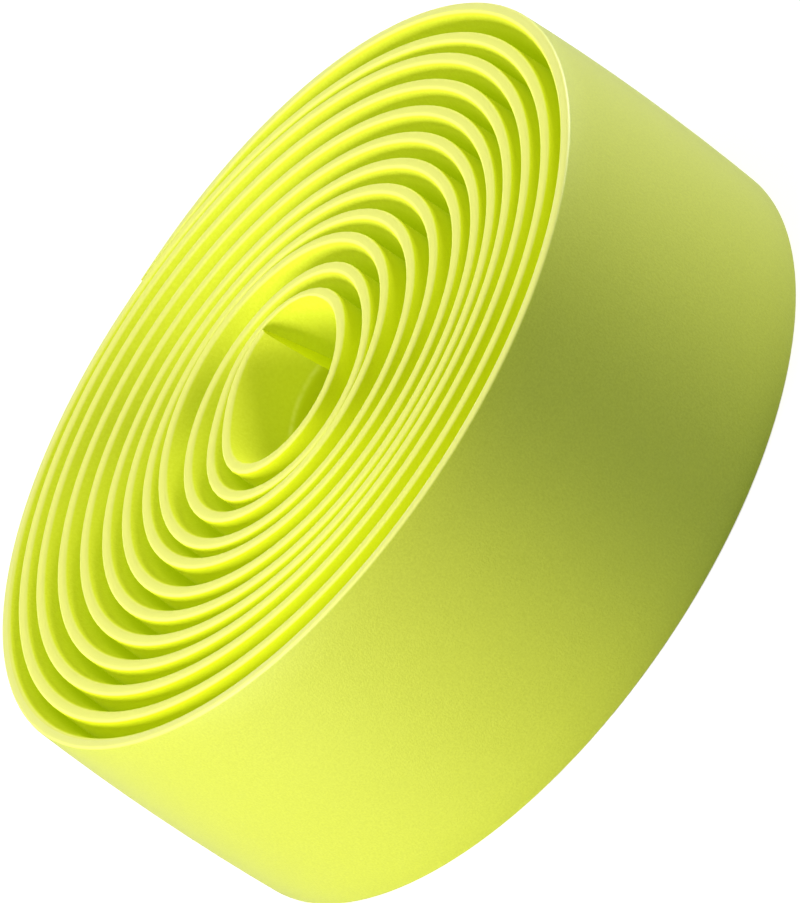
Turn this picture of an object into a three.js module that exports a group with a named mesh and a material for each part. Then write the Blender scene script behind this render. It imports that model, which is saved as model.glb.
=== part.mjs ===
// Roll of cushioned handlebar tape, standing on one end of the roll.
// Millimetres, +Z up. The roll is one strip of foam tape wound on itself with no core,
// so it is one closed solid: a long strip with the tape's real section, laid along a spiral.

import * as THREE from 'three';

// The tape laid flat
const TAPE_WIDTH = 30;
const TAPE_THICKNESS = 3;
// Both long edges are shaved thin on the back, in a rounded slope, so that wraps lie flush on the bar
const EDGE_THICKNESS = 1.1;
const SHAVED_WIDTH = 6.8;
// The inner end is cut a little off square, longer at the bottom, and pressed thinner over a part of a turn
const END_SKEW = THREE.MathUtils.degToRad(11);
const END_PRESS = 0.5;
const END_PRESS_REACH = 0.06;

// The winding, counted in turns from the inner end
const TURNS = 12.04;
const CORE_RADIUS = 8.5;
const WINDING_SQUEEZE = 0.12;
const TURN_CLEARANCE = 0.1;
// The turns stack up thicker in the middle than at the thin edges, so the roll is a little barrel-shaped
const BARREL_RISE = 0.45;
const START_ANGLE = THREE.MathUtils.degToRad(76);

// A roll wound by hand isn't round. These are its shapes at even steps from the core to the rim:
// spread is how far a turn lies outside an even winding, shift how far it is off centre,
// oval how far it is stretched along X, and slant how far it is stretched along the diagonal.
const TURN_SHAPES = [
  { spread: -1.5, shiftX: -0.8, shiftY: -1.6, oval: 0.1, slant: 1.3 },
  { spread: 0.15, shiftX: -0.8, shiftY: -0.6, oval: -0.6, slant: 0.5 },
  { spread: 0, shiftX: -0.4, shiftY: -1.2, oval: -0.2, slant: -0.1 },
  { spread: -0.15, shiftX: -0.7, shiftY: 1.3, oval: 0, slant: 0 },
  { spread: 0.2, shiftX: -0.6, shiftY: 1, oval: -0.5, slant: 0.7 },
];

// Places where the tape stands off the turn inside it, or is pressed in where lift is below zero.
// turn is the middle of the place and reach its half length, both in turns.
const LOOSE_PLACES = [
  { turn: 0.02, lift: 4.25, reach: 0.2 },
  { turn: 1.02, lift: 1.5, reach: 0.12 },
  { turn: 1.52, lift: 1.3, reach: 0.14 },
  { turn: 2.58, lift: -0.9, reach: 0.15 },
  { turn: 3.03, lift: 1.2, reach: 0.15 },
  { turn: 4.39, lift: -0.5, reach: 0.16 },
  { turn: 10.98, lift: -1.5, reach: 0.15 },
  { turn: 12.09, lift: -4.5, reach: 0.14 },
];

// Fineness of the solid
const STEPS_PER_TURN = 40;
const SHAVED_STEPS = [0, 0.4, 1];
// The skewed end is square to the winding again after this part of a turn
const SKEW_FADE = 0.25;

const FULL_TURN = 2 * Math.PI;
const TURN_PITCH = TAPE_THICKNESS - WINDING_SQUEEZE;

function windingAngle(turn) {
  return START_ANGLE + FULL_TURN * turn;
}

// Shape of the winding at a turn, between the two nearest of the listed shapes
function turnShape(turn) {
  const last = TURN_SHAPES.length - 1;
  const place = THREE.MathUtils.clamp(turn / TURNS, 0, 1) * last;
  const below = Math.min(Math.floor(place), last - 1);
  const mix = place - below;
  const from = TURN_SHAPES[below];
  const to = TURN_SHAPES[below + 1];
  const blend = (name) => THREE.MathUtils.lerp(from[name], to[name], mix);
  return {
    spread: blend('spread'),
    shiftX: blend('shiftX'),
    shiftY: blend('shiftY'),
    oval: blend('oval'),
    slant: blend('slant'),
  };
}

// Radius of the tape's outer side at its edges
function edgeRadius(turn) {
  const angle = windingAngle(turn);
  const shape = turnShape(turn);
  let radius = CORE_RADIUS + EDGE_THICKNESS / 2 + TURN_PITCH * turn + shape.spread;
  radius += shape.shiftX * Math.cos(angle) + shape.shiftY * Math.sin(angle);
  radius += shape.oval * Math.cos(2 * angle) + shape.slant * Math.sin(2 * angle);
  for (const place of LOOSE_PLACES) {
    radius += place.lift * Math.exp(-(((turn - place.turn) / place.reach) ** 2));
  }
  return radius;
}

// Radius of the tape's outer side at a height, with the barrel shape growing from the core to the rim
function outerRadius(turn, height) {
  const fromMiddle = (2 * height) / TAPE_WIDTH - 1;
  const rise = ((BARREL_RISE * turn) / TURNS) * (1 - fromMiddle ** 2);
  return edgeRadius(turn) + rise;
}

// How far a point of the skewed inner end lies ahead of the end's top corner, in turns
function skewLead(turn, height) {
  const fade = Math.max(0, 1 - turn / SKEW_FADE);
  return (fade * (TAPE_WIDTH - height) * Math.tan(END_SKEW)) / (FULL_TURN * CORE_RADIUS);
}

// Room between the outer side and the turn inside it, which squeezes the foam where it is tight.
// The winding is continued inward past the inner end, so the first turn thins smoothly towards that end.
function roomForTape(turn, height) {
  return outerRadius(turn, height) - outerRadius(turn - 1, height) - TURN_CLEARANCE;
}

// Thickness that the pressed inner end has lost at a turn counted from the end
function pressedAway(turn) {
  return END_PRESS * Math.exp(-((turn / END_PRESS_REACH) ** 2));
}

// Thickness of the free tape at a share of the shaved width, in from either long edge
function shavedThickness(share) {
  const slope = Math.sin((share * Math.PI) / 2);
  return EDGE_THICKNESS + (TAPE_THICKNESS - EDGE_THICKNESS) * slope;
}

// Section of the tape as depths below the outer side and heights, counterclockwise with outward to the right
function sectionPoints() {
  const outerHeights = [0, SHAVED_WIDTH, TAPE_WIDTH - SHAVED_WIDTH, TAPE_WIDTH];
  const outerSide = outerHeights.map((height) => ({ depth: 0, height }));
  const backFromTop = SHAVED_STEPS.map((share) => ({
    depth: shavedThickness(share),
    height: TAPE_WIDTH - share * SHAVED_WIDTH,
  }));
  const backToBottom = [...SHAVED_STEPS].reverse().map((share) => ({
    depth: shavedThickness(share),
    height: share * SHAVED_WIDTH,
  }));
  return [...outerSide, ...backFromTop, ...backToBottom];
}

function tapeRollGeometry() {
  const section = sectionPoints();
  const corners = section.length;
  const steps = Math.round(TURNS * STEPS_PER_TURN);
  const positions = [];
  for (let step = 0; step <= steps; step += 1) {
    for (const point of section) {
      const turn = step / STEPS_PER_TURN;
      const leadTurn = turn - skewLead(turn, point.height);
      const freeDepth = Math.max(0, point.depth - pressedAway(turn));
      const depth = Math.min(freeDepth, roomForTape(leadTurn, point.height));
      const radius = outerRadius(leadTurn, point.height) - depth;
      const angle = windingAngle(leadTurn);
      positions.push(radius * Math.cos(angle), radius * Math.sin(angle), point.height);
    }
  }
  const triangles = [];
  for (let step = 0; step < steps; step += 1) {
    for (let corner = 0; corner < corners; corner += 1) {
      const next = (corner + 1) % corners;
      const near = step * corners;
      const far = near + corners;
      triangles.push(near + next, near + corner, far + corner);
      triangles.push(near + next, far + corner, far + next);
    }
  }
  const lastStation = steps * corners;
  for (let corner = 1; corner < corners - 1; corner += 1) {
    triangles.push(0, corner, corner + 1);
    triangles.push(lastStation, lastStation + corner + 1, lastStation + corner);
  }
  const geometry = new THREE.BufferGeometry();
  geometry.setAttribute('position', new THREE.Float32BufferAttribute(positions, 3));
  geometry.setIndex(triangles);
  geometry.computeBoundingBox();
  const middle = geometry.boundingBox.getCenter(new THREE.Vector3());
  geometry.translate(-middle.x, -middle.y, 0);
  geometry.computeVertexNormals();
  return geometry;
}

const foam = new THREE.MeshStandardMaterial({ color: 0xd6e23a, roughness: 0.65, metalness: 0 });

const tapeRoll = new THREE.Mesh(tapeRollGeometry(), foam);
tapeRoll.name = 'tape_roll';

const group = new THREE.Group();
group.add(tapeRoll);

export default group;
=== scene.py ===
from bisect import bisect_right
from math import cos, exp, log, pi, radians, sin, tan

import bpy
import bmesh
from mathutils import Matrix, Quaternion, Vector


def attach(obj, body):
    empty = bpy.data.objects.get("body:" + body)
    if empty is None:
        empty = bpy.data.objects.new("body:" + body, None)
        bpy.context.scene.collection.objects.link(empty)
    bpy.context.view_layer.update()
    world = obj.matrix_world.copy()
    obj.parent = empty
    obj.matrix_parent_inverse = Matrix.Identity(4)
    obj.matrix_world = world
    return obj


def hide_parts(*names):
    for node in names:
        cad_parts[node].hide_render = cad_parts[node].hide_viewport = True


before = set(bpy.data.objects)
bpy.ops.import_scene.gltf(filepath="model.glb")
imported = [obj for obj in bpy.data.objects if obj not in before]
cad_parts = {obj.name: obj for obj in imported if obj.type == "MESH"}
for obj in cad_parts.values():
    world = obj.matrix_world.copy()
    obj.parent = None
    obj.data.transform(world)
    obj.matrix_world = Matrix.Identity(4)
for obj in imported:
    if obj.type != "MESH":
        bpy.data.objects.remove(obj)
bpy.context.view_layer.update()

scene = bpy.context.scene
scene.view_settings.view_transform = "Standard"
bpy.ops.object.select_all(action="DESELECT")


# The roll of handlebar tape
# One strip of soft cushioned foam about 1.9 m long, wound by hand on itself with no core. Both long edges
# are shaved thin on the back, so the roll's end shows a pale cut edge beside a deep groove on every turn.
TAPE_WIDTH = 0.030
TAPE_THICKNESS = 0.003
EDGE_THICKNESS = 0.0011
SHAVED_WIDTH = 0.0068
# The inner end is cut a little off square and pressed thinner over a part of a turn
END_SKEW = radians(11)
END_PRESS = 0.0005
END_PRESS_REACH = 0.06

TURNS = 12.04
CORE_RADIUS = 0.0085
WINDING_SQUEEZE = 0.00012
TURN_CLEARANCE = 0.00004
BARREL_RISE = 0.00045
START_ANGLE = radians(76)
TURN_PITCH = TAPE_THICKNESS - WINDING_SQUEEZE
SKEW_FADE = 0.025
CONTACT_ROUNDING = 0.00012

# Shapes of the winding at even steps from the core to the rim, in millimetres: how far a turn lies
# outside an even winding, how far it is off centre along X and Y, and how far it is stretched along
# X and along the diagonal
TURN_SHAPES = (
    (-1.5, -0.8, -1.6, 0.1, 1.3),
    (0.15, -0.8, -0.6, -0.6, 0.5),
    (0.0, -0.4, -1.2, -0.2, -0.1),
    (-0.15, -0.7, 1.3, 0.0, 0.0),
    (0.2, -0.6, 1.0, -0.5, 0.7),
)
# Loose and pressed places: the middle in turns, the lift in millimetres and the reach in turns
LOOSE_PLACES = (
    (0.02, 4.25, 0.2),
    (1.02, 1.5, 0.12),
    (1.52, 1.3, 0.14),
    (2.58, -0.9, 0.15),
    (3.03, 1.2, 0.15),
    (4.39, -0.5, 0.16),
    (10.98, -1.5, 0.15),
    (12.09, -4.5, 0.14),
)
MILLIMETRE = 0.001

SKIN_CORNER = 0.00035
BACK_CORNER = 0.00025
SHAVED_PROFILE = 0.36
# Fineness of the mesh: cuts along the tape, one lot inside the other, and places of the cuts across it
LENGTH_CUTS = (39, 29)
WIDTH_CUTS = (0.12, 0.25, 0.38, 0.5, 0.62, 0.75, 0.88)
SHAVED_SEGMENTS = 10
CORNER_SEGMENTS = 4
SMOOTH_ANGLE = radians(50)
TINY = 1e-6


def winding_angle(turn):
    return START_ANGLE + 2 * pi * turn


def turn_shape(turn):
    last = len(TURN_SHAPES) - 1
    place = min(max(turn / TURNS, 0), 1) * last
    below = min(int(place), last - 1)
    mix = place - below
    pairs = zip(TURN_SHAPES[below], TURN_SHAPES[below + 1])
    return [(start + (end - start) * mix) * MILLIMETRE for start, end in pairs]


def edge_radius(turn):
    angle = winding_angle(turn)
    spread, shift_x, shift_y, oval, slant = turn_shape(turn)
    radius = CORE_RADIUS + EDGE_THICKNESS / 2 + TURN_PITCH * turn + spread
    radius += shift_x * cos(angle) + shift_y * sin(angle)
    radius += oval * cos(2 * angle) + slant * sin(2 * angle)
    for middle, lift, reach in LOOSE_PLACES:
        radius += lift * MILLIMETRE * exp(-((turn - middle) / reach) ** 2)
    return radius


def barrel_rise(turn, height):
    from_middle = 2 * height / TAPE_WIDTH - 1
    return BARREL_RISE * turn / TURNS * (1 - from_middle ** 2)


# The length wound up to each small step of the turns, so that a place along the tape finds its turn
LENGTH_STEP = 0.01
wound_turns = [0.0]
wound_lengths = [0.0]
while wound_turns[-1] < TURNS:
    next_turn = min(wound_turns[-1] + LENGTH_STEP, TURNS)
    middle_turn = (wound_turns[-1] + next_turn) / 2
    step = 2 * pi * edge_radius(middle_turn) * (next_turn - wound_turns[-1])
    wound_lengths.append(wound_lengths[-1] + step)
    wound_turns.append(next_turn)
TAPE_LENGTH = wound_lengths[-1]
# From here on the skin is the outside of the roll, and before it each turn is wound under the next
OUTSIDE_FROM = wound_lengths[bisect_right(wound_turns, TURNS - 1)]


def turn_at(length):
    place = min(max(bisect_right(wound_lengths, length), 1), len(wound_lengths) - 1)
    share = (length - wound_lengths[place - 1]) / (wound_lengths[place] - wound_lengths[place - 1])
    return wound_turns[place - 1] + share * (wound_turns[place] - wound_turns[place - 1])


# The depth that is left where the room is tight, with a soft change from free to squeezed
def squeezed(depth, room):
    ample_room = 4 * TAPE_THICKNESS
    if room > ample_room:
        return depth
    soft = CONTACT_ROUNDING
    return -soft * log(exp(-depth / soft) + exp(-room / soft))


def select_only(mesh_object, kind, wanted):
    bpy.ops.object.mode_set(mode="EDIT")
    bpy.ops.mesh.select_mode(type=kind)
    bpy.ops.mesh.select_all(action="DESELECT")
    mesh = bmesh.from_edit_mesh(mesh_object.data)
    elements = {"VERT": mesh.verts, "EDGE": mesh.edges, "FACE": mesh.faces}[kind]
    for element in elements:
        element.select_set(wanted(element))
    mesh.select_flush_mode()
    bmesh.update_edit_mesh(mesh_object.data)


def runs_along(edge):
    first, second = (vertex.co for vertex in edge.verts)
    return abs(first.x - second.x) > TAPE_LENGTH / 2


# The flat tape lies along X with its outer side at Y = 0 and its back on the -Y side. The back is
# first made as deep as the shaved band is wide, so that an even bevel can round it, then pressed thin.
back_depth = EDGE_THICKNESS + SHAVED_WIDTH
bpy.ops.mesh.primitive_cube_add(
    size=1,
    location=(TAPE_LENGTH / 2, -back_depth / 2, TAPE_WIDTH / 2),
    scale=(TAPE_LENGTH, back_depth, TAPE_WIDTH),
)
tape = bpy.context.object
tape.name = "wound_tape"
tape.data.name = "wound_tape"
bpy.ops.object.transform_apply(location=True, rotation=True, scale=True)

middle_depth = -back_depth / 2
select_only(tape, "EDGE", lambda edge: runs_along(edge) and edge.verts[0].co.y < middle_depth)
bpy.ops.mesh.bevel(offset=SHAVED_WIDTH, segments=SHAVED_SEGMENTS, profile=SHAVED_PROFILE)
select_only(tape, "VERT", lambda vertex: vertex.co.y < -EDGE_THICKNESS - TINY)
bpy.ops.transform.resize(
    value=(1, (TAPE_THICKNESS - EDGE_THICKNESS) / SHAVED_WIDTH, 1),
    center_override=(0, -EDGE_THICKNESS, 0),
)
select_only(
    tape,
    "EDGE",
    lambda edge: runs_along(edge) and max(vertex.co.y for vertex in edge.verts) > -TINY,
)
bpy.ops.mesh.bevel(offset=SKIN_CORNER, segments=CORNER_SEGMENTS, profile=0.5)
select_only(
    tape,
    "EDGE",
    lambda edge: runs_along(edge)
    and all(abs(vertex.co.y + EDGE_THICKNESS) < TINY for vertex in edge.verts)
    and abs(edge.verts[0].co.z - TAPE_WIDTH / 2) > TAPE_WIDTH / 2 - TINY,
)
bpy.ops.mesh.bevel(offset=BACK_CORNER, segments=CORNER_SEGMENTS, profile=0.5)
for share in WIDTH_CUTS:
    bpy.ops.mesh.select_all(action="SELECT")
    bpy.ops.mesh.bisect(plane_co=(0, 0, share * TAPE_WIDTH), plane_no=(0, 0, 1))
for cuts in LENGTH_CUTS:
    select_only(
        tape,
        "EDGE",
        lambda edge: abs(edge.verts[0].co.x - edge.verts[1].co.x) > TINY,
    )
    bpy.ops.mesh.subdivide(number_cuts=cuts)
bpy.ops.object.mode_set(mode="OBJECT")

# The UV map keeps each point's place on the flat tape, in metres along it and across it
flat = [vertex.co.copy() for vertex in tape.data.vertices]
flat_place = tape.data.uv_layers.new(name="flat_place")
for loop in tape.data.loops:
    place = flat[loop.vertex_index]
    flat_place.data[loop.index].uv = (place.x, place.z)
# Each face's finish is its place in FINISHES below, told from the way the face looks on the flat tape
OUTSIDE_SKIN, UNDER_SKIN_WITH_PAINTED_BOUNCE, SHAVED_BACK, CUT_END = range(4)
for face in tape.data.polygons:
    if abs(face.normal.x) > 0.9:
        face.material_index = CUT_END
    elif face.normal.y < 0.05 and abs(face.normal.z) < 0.98:
        face.material_index = SHAVED_BACK
    # The skin wound under gets its own finish, a copy of the skin with painted bounce light
    elif face.center.x < OUTSIDE_FROM:
        face.material_index = UNDER_SKIN_WITH_PAINTED_BOUNCE
    else:
        face.material_index = OUTSIDE_SKIN

# The tape is wound up. The skewed end reaches further inward at the bottom. Where it is pressed, it is
# thinner on its back only, so the outer side stays where it is.
for vertex, place in zip(tape.data.vertices, flat):
    fade = max(0, 1 - place.x / SKEW_FADE)
    length = place.x - fade * (TAPE_WIDTH - place.z) * tan(END_SKEW)
    turn = turn_at(length)
    radius = edge_radius(turn) + barrel_rise(turn, place.z)
    inner_radius = edge_radius(turn - 1) + barrel_rise(turn - 1, place.z)
    pressed = END_PRESS * exp(-(turn_at(place.x) / END_PRESS_REACH) ** 2)
    free_depth = max(0, -place.y - pressed * min(1, -place.y / EDGE_THICKNESS))
    radius -= squeezed(free_depth, radius - inner_radius - TURN_CLEARANCE)
    angle = winding_angle(turn)
    vertex.co = (radius * cos(angle), radius * sin(angle), place.z)

low, high = (
    [pick(vertex.co[axis] for vertex in tape.data.vertices) for axis in range(3)]
    for pick in (min, max)
)
winding_middle = [-(low[axis] + high[axis]) / 2 for axis in range(2)] + [0]
bpy.ops.object.select_all(action="DESELECT")
tape.select_set(True)
bpy.context.view_layer.objects.active = tape
tape.location = winding_middle
bpy.ops.object.transform_apply(location=True, rotation=True, scale=True)
bpy.ops.object.mode_set(mode="EDIT")
bpy.ops.mesh.select_all(action="SELECT")
bpy.ops.mesh.normals_make_consistent(inside=False)
bpy.ops.object.mode_set(mode="OBJECT")
bpy.ops.object.shade_smooth_by_angle(angle=SMOOTH_ANGLE)


def colour(red, green, blue):
    def linear(value):
        share = value / 255
        return share / 12.92 if share <= 0.04045 else ((share + 0.055) / 1.055) ** 2.4
    return (linear(red), linear(green), linear(blue), 1)


# The foam's fine speckled grain as a height, and two masks that vary the colour
SPECKLE_RANGE = (0.3, 0.7)
MOTTLING_SCALE = 90


def foam_grain_group():
    group = bpy.data.node_groups.new("foam_grain", "ShaderNodeTree")
    group.interface.new_socket("Vector", in_out="INPUT", socket_type="NodeSocketVector")
    group.interface.new_socket("Grain Scale", in_out="INPUT", socket_type="NodeSocketFloat")
    group.interface.new_socket("Height", in_out="OUTPUT", socket_type="NodeSocketFloat")
    group.interface.new_socket("Speckle", in_out="OUTPUT", socket_type="NodeSocketFloat")
    group.interface.new_socket("Mottling", in_out="OUTPUT", socket_type="NodeSocketFloat")
    nodes = group.nodes
    links = group.links
    inputs = nodes.new("NodeGroupInput")
    outputs = nodes.new("NodeGroupOutput")
    fine = nodes.new("ShaderNodeTexNoise")
    fine.inputs["Detail"].default_value = 2
    fine.inputs["Roughness"].default_value = 0.6
    links.new(inputs.outputs["Vector"], fine.inputs["Vector"])
    links.new(inputs.outputs["Grain Scale"], fine.inputs["Scale"])
    links.new(fine.outputs["Fac"], outputs.inputs["Height"])
    speckle = nodes.new("ShaderNodeMapRange")
    speckle.inputs["From Min"].default_value = SPECKLE_RANGE[0]
    speckle.inputs["From Max"].default_value = SPECKLE_RANGE[1]
    links.new(fine.outputs["Fac"], speckle.inputs["Value"])
    links.new(speckle.outputs["Result"], outputs.inputs["Speckle"])
    broad = nodes.new("ShaderNodeTexNoise")
    broad.inputs["Scale"].default_value = MOTTLING_SCALE
    broad.inputs["Detail"].default_value = 3
    links.new(inputs.outputs["Vector"], broad.inputs["Vector"])
    links.new(broad.outputs["Fac"], outputs.inputs["Mottling"])
    return group


# Bands along the tape: the pale cut edge, and near the inner end, on the ridge where the shaved band of the
# back ends, a painted highlight line, broken up by noise, with painted shade on the foam past it
CUT_EDGE = (0.00006, 0.00028)
RIDGE_DEPTH = 0.0062
RIDGE_HALF_WIDTH = 0.0004
PAINTED_RIDGE_LENGTH = (0.036, 0.044)
RIDGE_BREAKUP_SCALE = 700
RIDGE_BREAKUP_RANGE = (0.3, 0.6)
LEAST_RIDGE_HIGHLIGHT = 0.35


def tape_bands_group():
    group = bpy.data.node_groups.new("tape_bands", "ShaderNodeTree")
    group.interface.new_socket("Flat Place", in_out="INPUT", socket_type="NodeSocketVector")
    group.interface.new_socket("Cut Edge", in_out="OUTPUT", socket_type="NodeSocketFloat")
    group.interface.new_socket("Painted Ridge Highlight", in_out="OUTPUT", socket_type="NodeSocketFloat")
    group.interface.new_socket("Painted Shade Past Ridge", in_out="OUTPUT", socket_type="NodeSocketFloat")
    nodes = group.nodes
    links = group.links

    def worked(operation, first, second):
        node = nodes.new("ShaderNodeMath")
        node.operation = operation
        for socket, value in zip(node.inputs, (first, second)):
            if isinstance(value, float):
                socket.default_value = value
            else:
                links.new(value, socket)
        return node.outputs["Value"]

    def ramp(value, low, high, start, end):
        node = nodes.new("ShaderNodeMapRange")
        node.interpolation_type = "SMOOTHSTEP"
        node.inputs["From Min"].default_value = low
        node.inputs["From Max"].default_value = high
        node.inputs["To Min"].default_value = start
        node.inputs["To Max"].default_value = end
        links.new(value, node.inputs["Value"])
        return node.outputs["Result"]

    inputs = nodes.new("NodeGroupInput")
    outputs = nodes.new("NodeGroupOutput")
    split = nodes.new("ShaderNodeSeparateXYZ")
    links.new(inputs.outputs["Flat Place"], split.inputs["Vector"])
    height = split.outputs["Y"]
    from_edge = worked("MINIMUM", height, worked("SUBTRACT", TAPE_WIDTH, height))
    links.new(ramp(from_edge, *CUT_EDGE, 1, 0), outputs.inputs["Cut Edge"])
    # The ridge line is a painted highlight and the foam past it gets painted shade
    off_line = worked("ABSOLUTE", worked("SUBTRACT", from_edge, RIDGE_DEPTH), 0.0)
    line = ramp(off_line, 0, RIDGE_HALF_WIDTH, 1, 0)
    breakup = nodes.new("ShaderNodeTexNoise")
    breakup.inputs["Scale"].default_value = RIDGE_BREAKUP_SCALE
    breakup.inputs["Detail"].default_value = 3
    links.new(inputs.outputs["Flat Place"], breakup.inputs["Vector"])
    broken_up = ramp(breakup.outputs["Fac"], *RIDGE_BREAKUP_RANGE, LEAST_RIDGE_HIGHLIGHT, 1)
    near_end = ramp(split.outputs["X"], *PAINTED_RIDGE_LENGTH, 1, 0)
    line = worked("MULTIPLY", line, near_end)
    links.new(worked("MULTIPLY", line, broken_up), outputs.inputs["Painted Ridge Highlight"])
    past = ramp(from_edge, RIDGE_DEPTH, RIDGE_DEPTH + 2 * RIDGE_HALF_WIDTH, 0, 1)
    links.new(worked("MULTIPLY", past, near_end), outputs.inputs["Painted Shade Past Ridge"])
    return group


foam_grain = foam_grain_group()
tape_bands = tape_bands_group()


SHEEN_ROUGHNESS = 0.35
MOTTLING_SHARE = 0.5


# colours holds the plain foam and what its speckle and mottling lead to. glow is painted light: an emission
# that stands in for the light the foam passes on from turn to turn. Each band has its mask, its colour, its
# painted glow and how strong it is.
def foam_material(name, colours, glow, bands, roughness, shine, grain_scale, grain_depth):
    material = bpy.data.materials.new(name)
    material.use_nodes = True
    nodes = material.node_tree.nodes
    links = material.node_tree.links
    shader = nodes["Principled BSDF"]
    shader.inputs["Roughness"].default_value = roughness
    shader.inputs["Specular IOR Level"].default_value = shine
    shader.inputs["Sheen Weight"].default_value = shine / 2
    shader.inputs["Sheen Roughness"].default_value = SHEEN_ROUGHNESS
    shader.inputs["Emission Strength"].default_value = 1

    def blended(first, second, mask, share):
        amount = nodes.new("ShaderNodeMath")
        amount.operation = "MULTIPLY"
        amount.inputs[1].default_value = share
        links.new(mask, amount.inputs[0])
        node = nodes.new("ShaderNodeMix")
        node.data_type = "RGBA"
        links.new(amount.outputs["Value"], node.inputs["Factor"])
        if isinstance(first, tuple):
            node.inputs["A"].default_value = first
        else:
            links.new(first, node.inputs["A"])
        node.inputs["B"].default_value = second
        return node.outputs["Result"]

    place = nodes.new("ShaderNodeTexCoord")
    grain = nodes.new("ShaderNodeGroup")
    grain.node_tree = foam_grain
    grain.inputs["Grain Scale"].default_value = grain_scale
    links.new(place.outputs["Object"], grain.inputs["Vector"])
    flat_map = nodes.new("ShaderNodeUVMap")
    flat_map.uv_map = "flat_place"
    masks = nodes.new("ShaderNodeGroup")
    masks.node_tree = tape_bands
    links.new(flat_map.outputs["UV"], masks.inputs["Flat Place"])
    plain, speckled, mottled = colours
    body = blended(plain, speckled, grain.outputs["Speckle"], 1)
    body = blended(body, mottled, grain.outputs["Mottling"], MOTTLING_SHARE)
    # The emission colour is painted light, a glow standing in for light bounced between the turns
    painted_glow = glow
    for mask, band_colour, band_glow, share in bands:
        body = blended(body, band_colour, masks.outputs[mask], share)
        painted_glow = blended(painted_glow, band_glow, masks.outputs[mask], share)
    links.new(body, shader.inputs["Base Color"])
    links.new(painted_glow, shader.inputs["Emission Color"])
    bump = nodes.new("ShaderNodeBump")
    bump.inputs["Strength"].default_value = 1
    bump.inputs["Distance"].default_value = grain_depth
    links.new(grain.outputs["Height"], bump.inputs["Height"])
    links.new(bump.outputs["Normal"], shader.inputs["Normal"])
    return material


# The cut edge's pale colour is the foam's own; its glow is painted light
CUT_EDGE_BAND = ("Cut Edge", colour(231, 233, 122), (0.06, 0.08, 0, 1), 1)
# Painted shade past the ridge and a painted highlight on it, each with its painted glow
PAINTED_SHADE_BAND = ("Painted Shade Past Ridge", colour(212, 222, 26), (0.03, 0.04, 0, 1), 0.9)
PAINTED_RIDGE_HIGHLIGHT_BAND = ("Painted Ridge Highlight", colour(228, 232, 96), (0.14, 0.16, 0.02, 1), 0.8)
# In the order of the faces' finishes: the skin outside, the skin wound under, the shaved back and the
# tape's two cut ends. The second colour of each is its painted glow, light painted in as emission.
FINISHES = (
    foam_material(
        "foam_skin",
        (colour(189, 196, 42), colour(203, 210, 56), colour(195, 204, 48)),
        (0, 0.035, 0, 1),
        (CUT_EDGE_BAND,),
        roughness=0.5,
        shine=0.75,
        grain_scale=4500,
        grain_depth=0.000022,
    ),
    # The skin wound under: the skin with painted light, a more saturated colour, a stronger glow and little
    # shine, in place of the light bounced inside the grooves
    foam_material(
        "wound_under_skin_painted_bounce",
        (colour(201, 211, 26), colour(207, 217, 32), colour(203, 213, 28)),
        (0.1, 0.12, 0, 1),
        (CUT_EDGE_BAND,),
        roughness=0.8,
        shine=0.05,
        grain_scale=4500,
        grain_depth=0.00002,
    ),
    foam_material(
        "shaved_foam",
        (colour(216, 222, 66), colour(208, 214, 56), colour(202, 209, 50)),
        (0.11, 0.15, 0, 1),
        (PAINTED_SHADE_BAND, PAINTED_RIDGE_HIGHLIGHT_BAND, CUT_EDGE_BAND),
        roughness=0.8,
        shine=0.0,
        grain_scale=3000,
        grain_depth=0.00003,
    ),
    foam_material(
        "cut_foam",
        (colour(222, 230, 20), colour(214, 222, 14), colour(220, 228, 24)),
        (0.08, 0.1, 0, 1),
        (CUT_EDGE_BAND,),
        roughness=0.85,
        shine=0.1,
        grain_scale=3000,
        grain_depth=0.00003,
    ),
)
for finish in FINISHES:
    tape.data.materials.append(finish)

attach(tape, "root")
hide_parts("tape_roll")


# Camera
# The photo looks down on the roll at about 25 degrees through a long lens, held turned on its side.
CAMERA_PITCH = radians(64.9)
CAMERA_ROLL = radians(-55.2)
CAMERA_LENS = 478.4
CAMERA_SENSOR = 36
CAMERA_REACH = 20
CAMERA_PLACE = (0.00041, -1.0603, 0.5116)

bpy.ops.object.camera_add()
camera = bpy.context.object
camera.name = "photo_camera"
camera.data.lens = CAMERA_LENS
camera.data.sensor_width = CAMERA_SENSOR
camera.data.sensor_fit = "AUTO"
camera.data.clip_end = CAMERA_REACH
camera.location = [CAMERA_PLACE[axis] + winding_middle[axis] for axis in range(3)]
camera.rotation_mode = "QUATERNION"
tilt = Quaternion((1, 0, 0), CAMERA_PITCH)
turned = Quaternion((0, 0, 1), CAMERA_ROLL)
camera.rotation_quaternion = tilt @ turned
scene.camera = camera


# Floor
# A plain white table top. The roll's soft shadow falls on it, and elsewhere it shows as plain white.
FLOOR_SIZE = 6
FLOOR_GREY = 0.5
FLOOR_ROUGHNESS = 0.9
# What is added for the camera alone, so that the lit floor reaches white
FLOOR_WHITENING = 0.72

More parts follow.
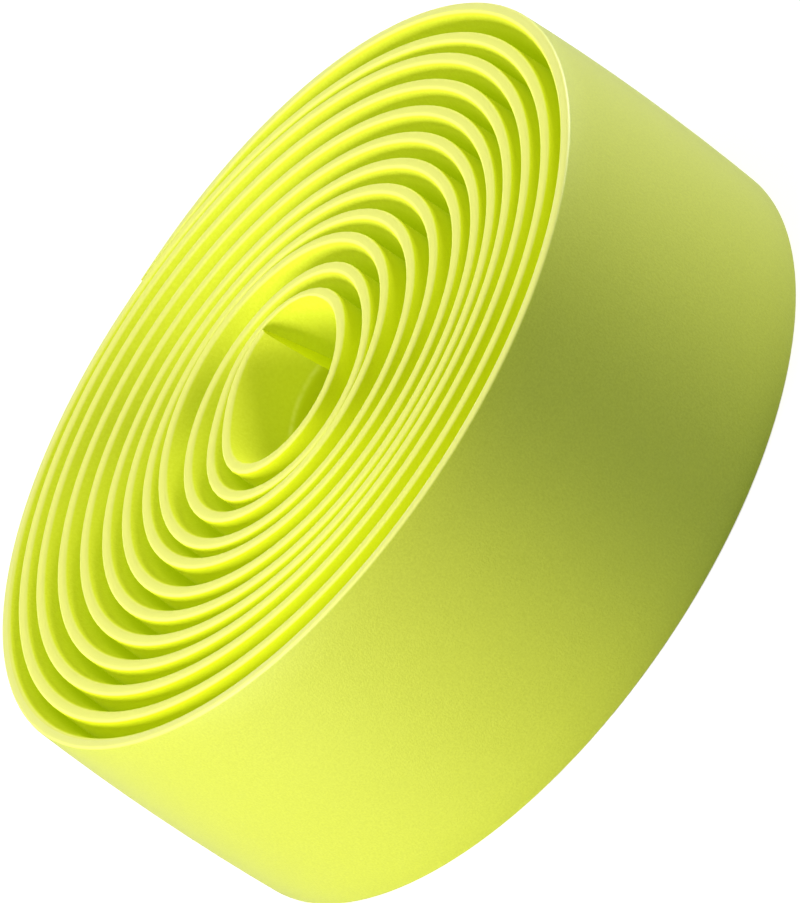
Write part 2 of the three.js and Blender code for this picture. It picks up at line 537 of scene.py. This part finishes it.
bpy.ops.mesh.primitive_plane_add(size=FLOOR_SIZE)
floor = bpy.context.object
floor.name = "floor"
floor_finish = bpy.data.materials.new("white_table")
floor_finish.use_nodes = True
floor_nodes = floor_finish.node_tree.nodes
floor_links = floor_finish.node_tree.links
floor_shader = floor_nodes["Principled BSDF"]
floor_shader.inputs["Base Color"].default_value = (FLOOR_GREY, FLOOR_GREY, FLOOR_GREY, 1)
floor_shader.inputs["Roughness"].default_value = FLOOR_ROUGHNESS
floor_rays = floor_nodes.new("ShaderNodeLightPath")
floor_shader.inputs["Emission Color"].default_value = (1, 1, 1, 1)
floor_glow = floor_nodes.new("ShaderNodeMath")
floor_glow.operation = "MULTIPLY"
floor_glow.inputs[1].default_value = FLOOR_WHITENING
floor_links.new(floor_rays.outputs["Is Camera Ray"], floor_glow.inputs[0])
floor_links.new(floor_glow.outputs["Value"], floor_shader.inputs["Emission Strength"])
floor.data.materials.append(floor_finish)


# Studio light
# A broad low lamp on the left and a lower one on the right, with the front between them left in half shade.
# A wider, weaker one hangs overhead. Each is given by its bearing from +X and its height angle in degrees,
# its size in metres, its power in watts and its tint.
LAMP_DISTANCE = 1.2
LAMPS = {
    "left_lamp": (-162, 18, 0.5, 17.5, (1, 0.96, 1)),
    "right_lamp": (24, 5, 0.5, 19, (1, 0.97, 1)),
    "top_lamp": (-90, 84, 2.2, 15, (1, 1, 1)),
}
ROOM_LEVEL = 0.06

for name, (bearing, height_angle, size, power, tint) in LAMPS.items():
    bearing = radians(bearing)
    height_angle = radians(height_angle)
    outward = Vector(
        (cos(height_angle) * cos(bearing), cos(height_angle) * sin(bearing), sin(height_angle))
    )
    bpy.ops.object.light_add(type="AREA", location=LAMP_DISTANCE * outward)
    lamp = bpy.context.object
    lamp.name = name
    lamp.data.shape = "SQUARE"
    lamp.data.size = size
    lamp.data.energy = power
    lamp.data.color = tint
    lamp.rotation_mode = "QUATERNION"
    lamp.rotation_quaternion = outward.to_track_quat("Z", "Y")

world = bpy.data.worlds.new("pale_room")
scene.world = world
world.use_nodes = True
world_nodes = world.node_tree.nodes
world_links = world.node_tree.links
background = world_nodes["Background"]
background.inputs["Color"].default_value = (1, 1, 1, 1)
world_rays = world_nodes.new("ShaderNodeLightPath")
world_level = world_nodes.new("ShaderNodeMapRange")
world_level.inputs["To Min"].default_value = ROOM_LEVEL
world_level.inputs["To Max"].default_value = 1
world_links.new(world_rays.outputs["Is Camera Ray"], world_level.inputs["Value"])
world_links.new(world_level.outputs["Result"], background.inputs["Strength"])
